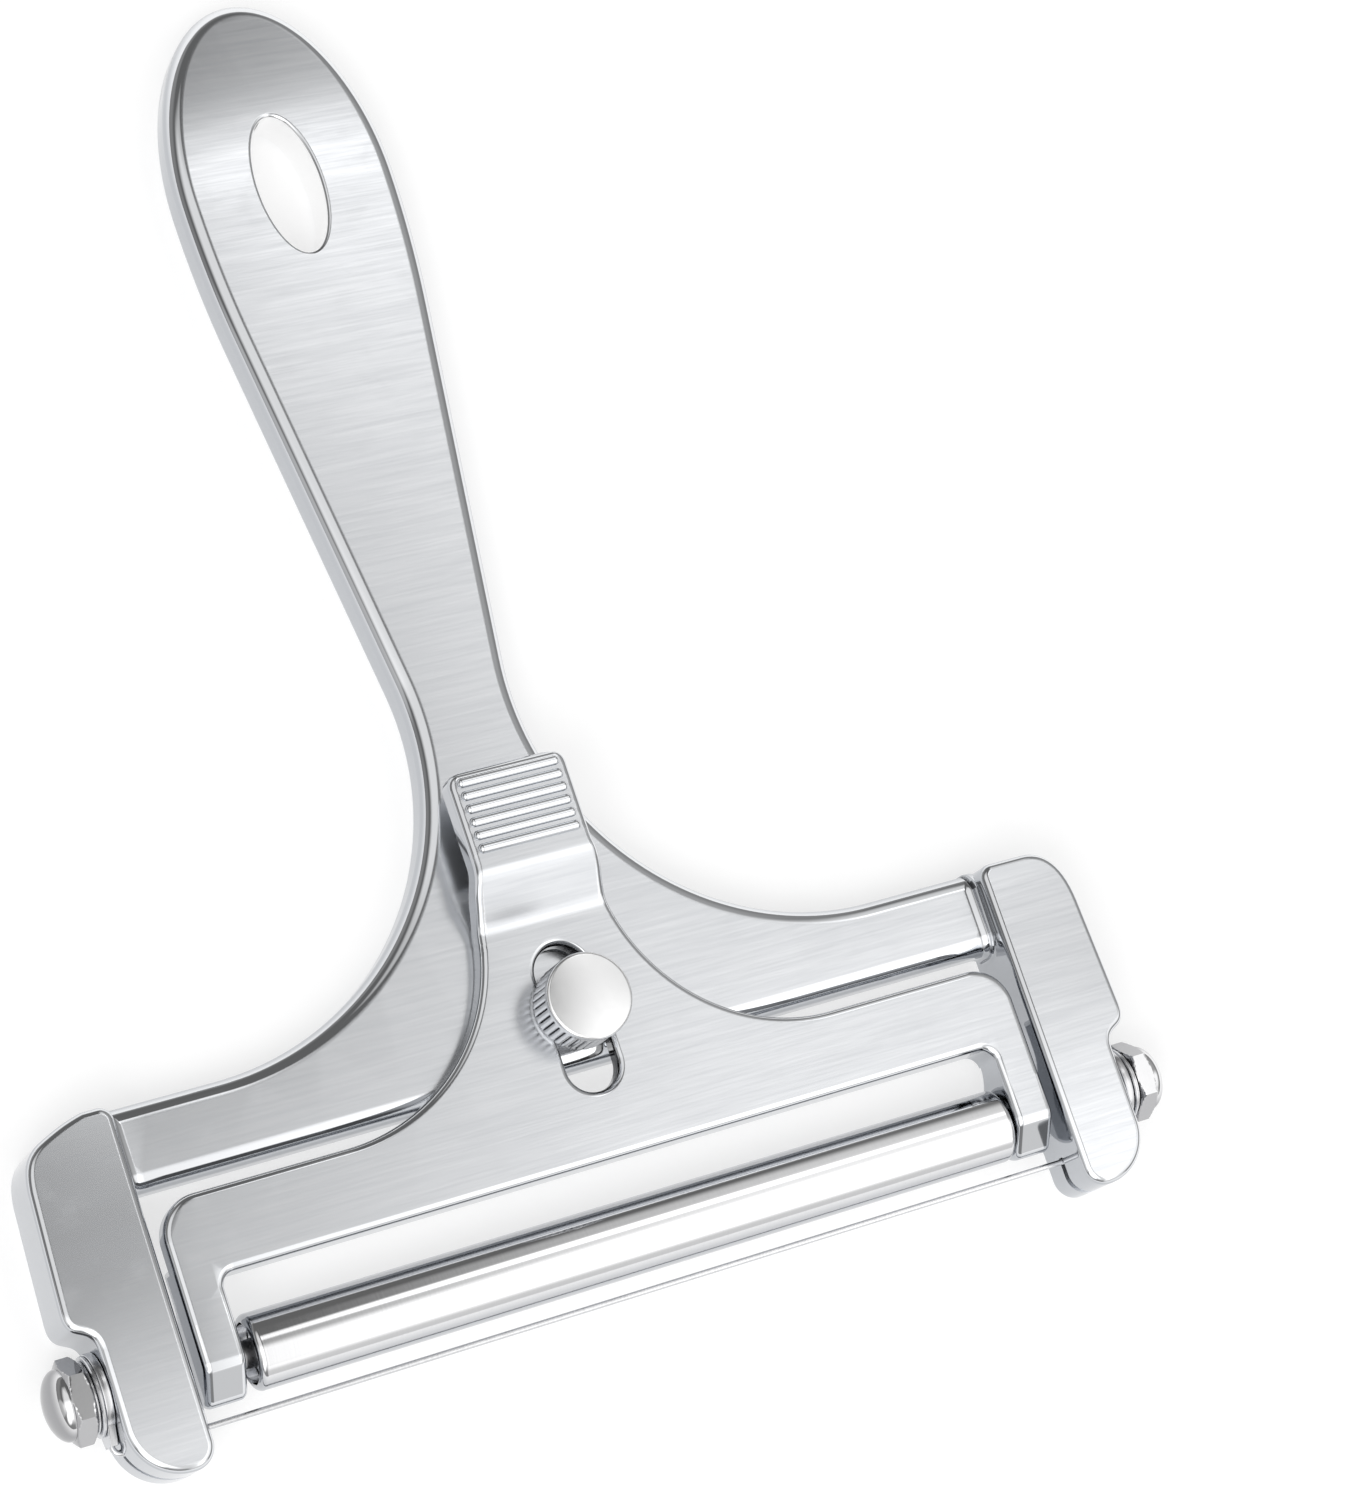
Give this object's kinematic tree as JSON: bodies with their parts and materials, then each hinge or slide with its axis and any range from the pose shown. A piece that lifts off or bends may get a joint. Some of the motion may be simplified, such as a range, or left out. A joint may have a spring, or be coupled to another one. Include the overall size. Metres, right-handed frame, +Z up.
{
  "type": "cheese wire cutter",
  "caption": "Hand-held cheese slicer: a handled metal frame holds a cutting wire, and a sliding roller carrier locked by a knurled knob sets the slice thickness.",
  "frame": {"origin": "centre of the bounding box on the flat back the slicer lies on", "axes": "+X along the cutting wire, +Y from the wire towards the handle's end, +Z up from the flat back to the knob"},
  "size_m": [0.1334, 0.1572, 0.0143],
  "materials": {
    "casting": "brushed face, polished rounded edges",
    "polished": "polished",
    "steel": "bright steel",
    "wire": "drawn stainless wire"
  },
  "bodies": {
    "frame": {"frame_casting": "casting", "guide_block": "polished", "clamp_stud": "steel", "cutting_wire": "wire", "wire_lug_left": "steel", "wire_lug_right": "steel", "terminal_stud_left": "steel", "terminal_stud_right": "steel", "terminal_washer_left": "steel", "terminal_washer_right": "steel"},
    "carrier": {"roller_carrier": "casting", "roller_axle": "steel"},
    "roller": {"roller_tube": "polished", "roller_bush_left": "steel", "roller_bush_right": "steel"},
    "knob_washer": {"clamp_washer": "steel"},
    "knob": {"thumb_knob": "polished"},
    "nut_washer_left": {"lock_washer_left": "steel"},
    "nut_washer_right": {"lock_washer_right": "steel"},
    "nut_left": {"cap_nut_left": "polished"},
    "nut_right": {"cap_nut_right": "polished"}
  },
  "joints": [
    {"name": "carrier_slide", "type": "slide", "parent": "frame", "child": "carrier", "axis": [0, 1, 0], "range_m": [-0.0012, 0.0058]},
    {"name": "roller_spin", "type": "hinge", "parent": "carrier", "child": "roller", "pos_m": [0, -0.06845, 0.0044], "axis": [1, 0, 0], "continuous": true},
    {"name": "knob_rise", "type": "slide", "parent": "frame", "child": "knob_washer", "axis": [0, 0, 1], "range_m": [0, 0.0016]},
    {"name": "knob_turn", "type": "hinge", "parent": "knob_washer", "child": "knob", "pos_m": [0, -0.04345, 0.0115], "axis": [0, 0, 1], "range_deg": [0, 720.5]},
    {"name": "nut_rise_left", "type": "slide", "parent": "frame", "child": "nut_washer_left", "axis": [-1, 0, 0], "range_m": [0, 0.0016]},
    {"name": "nut_turn_left", "type": "hinge", "parent": "nut_washer_left", "child": "nut_left", "pos_m": [-0.0645, -0.06805, 0.0044], "axis": [-1, 0, 0], "range_deg": [0, 720.5]},
    {"name": "nut_rise_right", "type": "slide", "parent": "frame", "child": "nut_washer_right", "axis": [1, 0, 0], "range_m": [0, 0.0016]},
    {"name": "nut_turn_right", "type": "hinge", "parent": "nut_washer_right", "child": "nut_right", "pos_m": [0.0645, -0.06805, 0.0044], "axis": [1, 0, 0], "range_deg": [0, 720.5]}
  ],
  "couplings": [
    {"joint": "knob_turn", "follows": "knob_rise", "rad_per_m": 7854},
    {"joint": "nut_turn_left", "follows": "nut_rise_left", "rad_per_m": 7854},
    {"joint": "nut_turn_right", "follows": "nut_rise_right", "rad_per_m": 7854}
  ]
}
